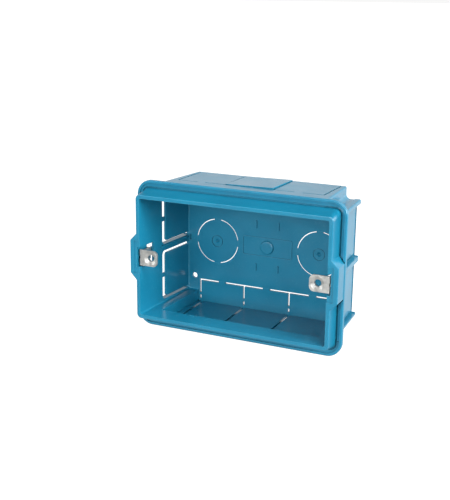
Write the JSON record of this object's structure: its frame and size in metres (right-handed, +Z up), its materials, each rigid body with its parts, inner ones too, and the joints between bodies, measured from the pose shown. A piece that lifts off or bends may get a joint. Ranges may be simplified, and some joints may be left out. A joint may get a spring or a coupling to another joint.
{
  "type": "flush-mounting electrical wiring box",
  "caption": "Blue moulded flush-mounting wiring box, open in front, with a flanged rim, steel screw lugs at both sides and break-out knock-outs for conduit.",
  "frame": {"origin": "midway between the two lug screw holes, at the depth where their threaded part begins (0.9 mm behind the lugs' front faces, 2.4 mm behind the rim's front edge, and 0.35 mm below the middle of the opening)", "axes": "+X to the right seen from the open front, +Y into the wall, +Z up"},
  "size_m": [0.1042, 0.0456, 0.0717],
  "materials": {
    "moulded_plastic": "moulded satin",
    "plated_steel": "zinc plated"
  },
  "bodies": {
    "shell": {"box_shell": "moulded_plastic", "left_lug": "plated_steel", "right_lug": "plated_steel"},
    "back_knockout_left_body": {"back_knockout_left": "moulded_plastic"},
    "back_knockout_right_body": {"back_knockout_right": "moulded_plastic"},
    "left_wall_knockout_upper_body": {"left_wall_knockout_upper": "moulded_plastic"},
    "right_wall_knockout_upper_body": {"right_wall_knockout_upper": "moulded_plastic"},
    "left_wall_knockout_lower_body": {"left_wall_knockout_lower": "moulded_plastic"},
    "right_wall_knockout_lower_body": {"right_wall_knockout_lower": "moulded_plastic"},
    "top_knockout_left_body": {"top_knockout_left": "moulded_plastic"},
    "top_knockout_centre_body": {"top_knockout_centre": "moulded_plastic"},
    "top_knockout_right_body": {"top_knockout_right": "moulded_plastic"},
    "bottom_knockout_left_body": {"bottom_knockout_left": "moulded_plastic"},
    "bottom_knockout_centre_body": {"bottom_knockout_centre": "moulded_plastic"},
    "bottom_knockout_right_body": {"bottom_knockout_right": "moulded_plastic"}
  },
  "joints": [
    {"name": "back_knockout_left_push_out", "type": "slide", "parent": "shell", "child": "back_knockout_left_body", "axis": [0, 1, 0], "range_m": [0, 0.02]},
    {"name": "back_knockout_right_push_out", "type": "slide", "parent": "shell", "child": "back_knockout_right_body", "axis": [0, 1, 0], "range_m": [0, 0.02]},
    {"name": "left_wall_knockout_upper_push_out", "type": "slide", "parent": "shell", "child": "left_wall_knockout_upper_body", "axis": [-1, 0, 0], "range_m": [0, 0.02]},
    {"name": "right_wall_knockout_upper_push_out", "type": "slide", "parent": "shell", "child": "right_wall_knockout_upper_body", "axis": [1, 0, 0], "range_m": [0, 0.02]},
    {"name": "left_wall_knockout_lower_push_out", "type": "slide", "parent": "shell", "child": "left_wall_knockout_lower_body", "axis": [-1, 0, 0], "range_m": [0, 0.02]},
    {"name": "right_wall_knockout_lower_push_out", "type": "slide", "parent": "shell", "child": "right_wall_knockout_lower_body", "axis": [1, 0, 0], "range_m": [0, 0.02]},
    {"name": "top_knockout_left_push_out", "type": "slide", "parent": "shell", "child": "top_knockout_left_body", "axis": [0, 0.7071, 0.7071], "range_m": [0, 0.02]},
    {"name": "top_knockout_centre_push_out", "type": "slide", "parent": "shell", "child": "top_knockout_centre_body", "axis": [0, 0.7071, 0.7071], "range_m": [0, 0.02]},
    {"name": "top_knockout_right_push_out", "type": "slide", "parent": "shell", "child": "top_knockout_right_body", "axis": [0, 0.7071, 0.7071], "range_m": [0, 0.02]},
    {"name": "bottom_knockout_left_push_out", "type": "slide", "parent": "shell", "child": "bottom_knockout_left_body", "axis": [0, 0.7071, -0.7071], "range_m": [0, 0.02]},
    {"name": "bottom_knockout_centre_push_out", "type": "slide", "parent": "shell", "child": "bottom_knockout_centre_body", "axis": [0, 0.7071, -0.7071], "range_m": [0, 0.02]},
    {"name": "bottom_knockout_right_push_out", "type": "slide", "parent": "shell", "child": "bottom_knockout_right_body", "axis": [0, 0.7071, -0.7071], "range_m": [0, 0.02]}
  ]
}
